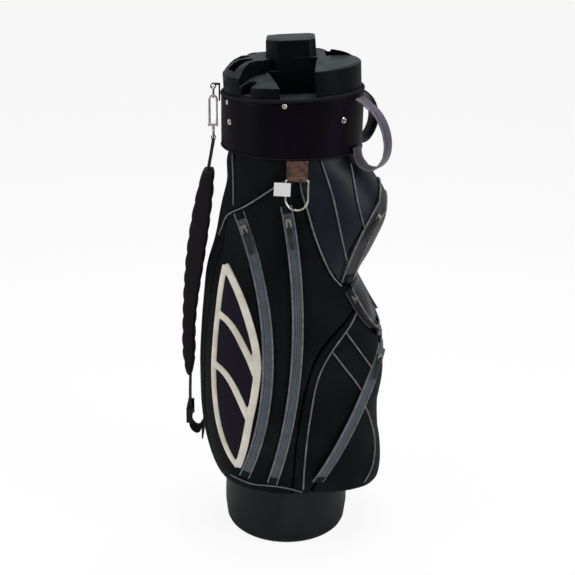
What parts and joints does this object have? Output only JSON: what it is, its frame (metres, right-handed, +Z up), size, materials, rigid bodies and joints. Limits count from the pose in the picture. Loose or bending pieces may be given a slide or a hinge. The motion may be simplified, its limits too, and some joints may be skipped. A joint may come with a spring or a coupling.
{
  "type": "cart golf bag",
  "caption": "Cart golf bag with a moulded divided top, padded zip pockets, lift handles, a clip-on shoulder strap and a round base cup",
  "frame": {"origin": "centre of the base cup's standing face", "axes": "Z up along the bag, X towards the pockets and lift handles, Y across to the flank away from the towel ring"},
  "size_m": [0.3848, 0.2884, 0.9417],
  "materials": {
    "organiser_plastic": "moulded, light sheen",
    "base_plastic": "moulded, fine grain",
    "liner_plastic": "smooth",
    "divider_plastic": "smooth",
    "stay_alloy": "drawn tube",
    "foot_rubber": "moulded",
    "cuff_leather": "smooth synthetic leather",
    "bag_fabric": "woven nylon",
    "bag_leather": "synthetic leather",
    "piping_fabric": "grey cord piping",
    "zip_tape": "blue-grey zip tape",
    "zip_metal": "plated",
    "pull_leather": "moulded pull",
    "leaf_leather": "cream synthetic leather",
    "leaf_mesh": "open mesh",
    "handle_leather": "stitched synthetic leather",
    "black_webbing": "woven webbing",
    "strap_fabric": "padded air mesh",
    "strap_leather": "synthetic leather",
    "buckle_plastic": "moulded",
    "bright_metal": "nickel plated",
    "tab_leather": "brown synthetic leather"
  },
  "bodies": {
    "bag": {"base_cup": "base_plastic", "foot_ring": "foot_rubber", "stay_rods": "stay_alloy", "liner_tube": "liner_plastic", "divider_core": "divider_plastic", "divider_blades": "divider_plastic", "collar_ring": "liner_plastic", "cuff_band": "cuff_leather", "cuff_binding": "piping_fabric", "cuff_lower_seam": "piping_fabric", "organiser_top": "organiser_plastic", "spine_panel": "bag_leather", "front_yoke": "bag_leather", "upper_pocket": "bag_leather", "middle_pocket": "bag_leather", "lower_yoke": "bag_fabric", "ball_pocket": "bag_leather", "side_panel_near": "bag_fabric", "side_panel_far": "bag_fabric", "side_pocket_near": "bag_fabric", "side_pocket_far": "bag_fabric", "rear_zip_near": "zip_tape", "rear_zip_far": "zip_tape", "fore_zip_near": "zip_tape", "fore_zip_far": "zip_tape", "upper_zip": "zip_tape", "middle_zip": "zip_tape", "ball_zip": "zip_tape", "leaf_trim": "leaf_leather", "leaf_mesh": "leaf_mesh", "lift_handle_front": "handle_leather", "lift_handle_rear": "bag_leather", "cuff_rivets": "bright_metal", "hood_studs": "bright_metal", "strap_tab_upper": "black_webbing", "strap_ring_upper": "bright_metal", "snap_hook": "bright_metal", "strap_end_upper": "strap_leather", "strap_pad": "strap_fabric", "strap_anchor": "black_webbing", "strap_webbing_lower": "black_webbing", "strap_buckle": "buckle_plastic", "towel_tab": "tab_leather", "front_grab_loop": "black_webbing"},
    "rear_slider_near": {"rear_slider_near": "zip_metal"},
    "rear_pull_near": {"rear_pull_near": "pull_leather"},
    "rear_slider_far": {"rear_slider_far": "zip_metal"},
    "rear_pull_far": {"rear_pull_far": "pull_leather"},
    "fore_slider_near": {"fore_slider_near": "zip_metal"},
    "fore_pull_near": {"fore_pull_near": "pull_leather"},
    "fore_slider_far": {"fore_slider_far": "zip_metal"},
    "fore_pull_far": {"fore_pull_far": "pull_leather"},
    "upper_slider": {"upper_slider": "zip_metal"},
    "upper_pull": {"upper_pull": "pull_leather"},
    "middle_slider": {"middle_slider": "zip_metal"},
    "middle_pull": {"middle_pull": "pull_leather"},
    "ball_slider": {"ball_slider": "zip_metal"},
    "ball_pull": {"ball_pull": "pull_leather"},
    "towel_ring": {"towel_ring": "bright_metal"},
    "snap_gate": {"snap_gate": "bright_metal"}
  },
  "joints": [
    {"name": "rear_slider_near_travel", "type": "hinge", "parent": "bag", "child": "rear_slider_near", "pos_m": [-0.48355, 0.19621, 0.37607], "axis": [0.6026, 0.7977, -0.0225], "range_deg": [0, 44.7]},
    {"name": "rear_pull_near_swing", "type": "hinge", "parent": "rear_slider_near", "child": "rear_pull_near", "pos_m": [-0.07994, -0.10954, 0.62408], "axis": [-0.9273, 0.062, -0.3692], "range_deg": [0, 115]},
    {"name": "rear_slider_far_travel", "type": "hinge", "parent": "bag", "child": "rear_slider_far", "pos_m": [-0.48355, -0.19621, 0.37607], "axis": [-0.6026, 0.7977, 0.0225], "range_deg": [0, 44.7]},
    {"name": "rear_pull_far_swing", "type": "hinge", "parent": "rear_slider_far", "child": "rear_pull_far", "pos_m": [-0.07994, 0.10954, 0.62408], "axis": [0.9273, 0.062, 0.3692], "range_deg": [0, 115]},
    {"name": "fore_slider_near_travel", "type": "hinge", "parent": "bag", "child": "fore_slider_near", "pos_m": [-0.83723, 0.32839, 0.42843], "axis": [0.4835, 0.875, -0.0247], "range_deg": [0, 26.7]},
    {"name": "fore_pull_near_swing", "type": "hinge", "parent": "fore_slider_near", "child": "fore_pull_near", "pos_m": [-0.00316, -0.13365, 0.64284], "axis": [-0.9835, -0.038, -0.1768], "range_deg": [0, 115]},
    {"name": "fore_slider_far_travel", "type": "hinge", "parent": "bag", "child": "fore_slider_far", "pos_m": [-0.83723, -0.32839, 0.42843], "axis": [-0.4835, 0.875, 0.0247], "range_deg": [0, 26.7]},
    {"name": "fore_pull_far_swing", "type": "hinge", "parent": "fore_slider_far", "child": "fore_pull_far", "pos_m": [-0.00316, 0.13365, 0.64284], "axis": [0.9835, -0.038, 0.1768], "range_deg": [0, 115]},
    {"name": "upper_slider_travel", "type": "hinge", "parent": "bag", "child": "upper_slider", "pos_m": [0.16939, 0.04632, 0.53944], "axis": [-0.8742, 0.3828, 0.2987], "range_deg": [-24, 0]},
    {"name": "upper_pull_swing", "type": "hinge", "parent": "upper_slider", "child": "upper_pull", "pos_m": [0.15399, -0.08477, 0.6406], "axis": [-0.4988, -0.5263, 0.6886], "range_deg": [0, 115]},
    {"name": "middle_slider_travel", "type": "hinge", "parent": "bag", "child": "middle_slider", "pos_m": [0.13443, 0.03655, 0.52175], "axis": [0.8764, -0.2212, 0.4279], "range_deg": [0, 20.3]},
    {"name": "middle_pull_swing", "type": "hinge", "parent": "middle_slider", "child": "middle_pull", "pos_m": [0.11886, -0.10032, 0.49909], "axis": [-0.4022, -0.8651, -0.2998], "range_deg": [0, 115]},
    {"name": "ball_slider_travel", "type": "hinge", "parent": "bag", "child": "ball_slider", "pos_m": [0.08421, 0.10344, 0.20758], "axis": [0.8975, 0.0215, -0.4405], "range_deg": [0, 50.5]},
    {"name": "ball_pull_swing", "type": "hinge", "parent": "ball_slider", "child": "ball_pull", "pos_m": [0.17109, -0.0646, 0.36823], "axis": [-0.6113, -0.3553, 0.7071], "range_deg": [0, 115]},
    {"name": "towel_ring_swing", "type": "hinge", "parent": "bag", "child": "towel_ring", "pos_m": [0.01, -0.12406, 0.7171], "axis": [-1, 0, 0], "range_deg": [0, 80]},
    {"name": "snap_gate_swing", "type": "hinge", "parent": "bag", "child": "snap_gate", "pos_m": [-0.132, 0, 0.7892], "axis": [0, -1, 0], "range_deg": [0, 14], "stiffness_Nm_per_rad": 0.02, "springref_deg": -17.19}
  ]
}
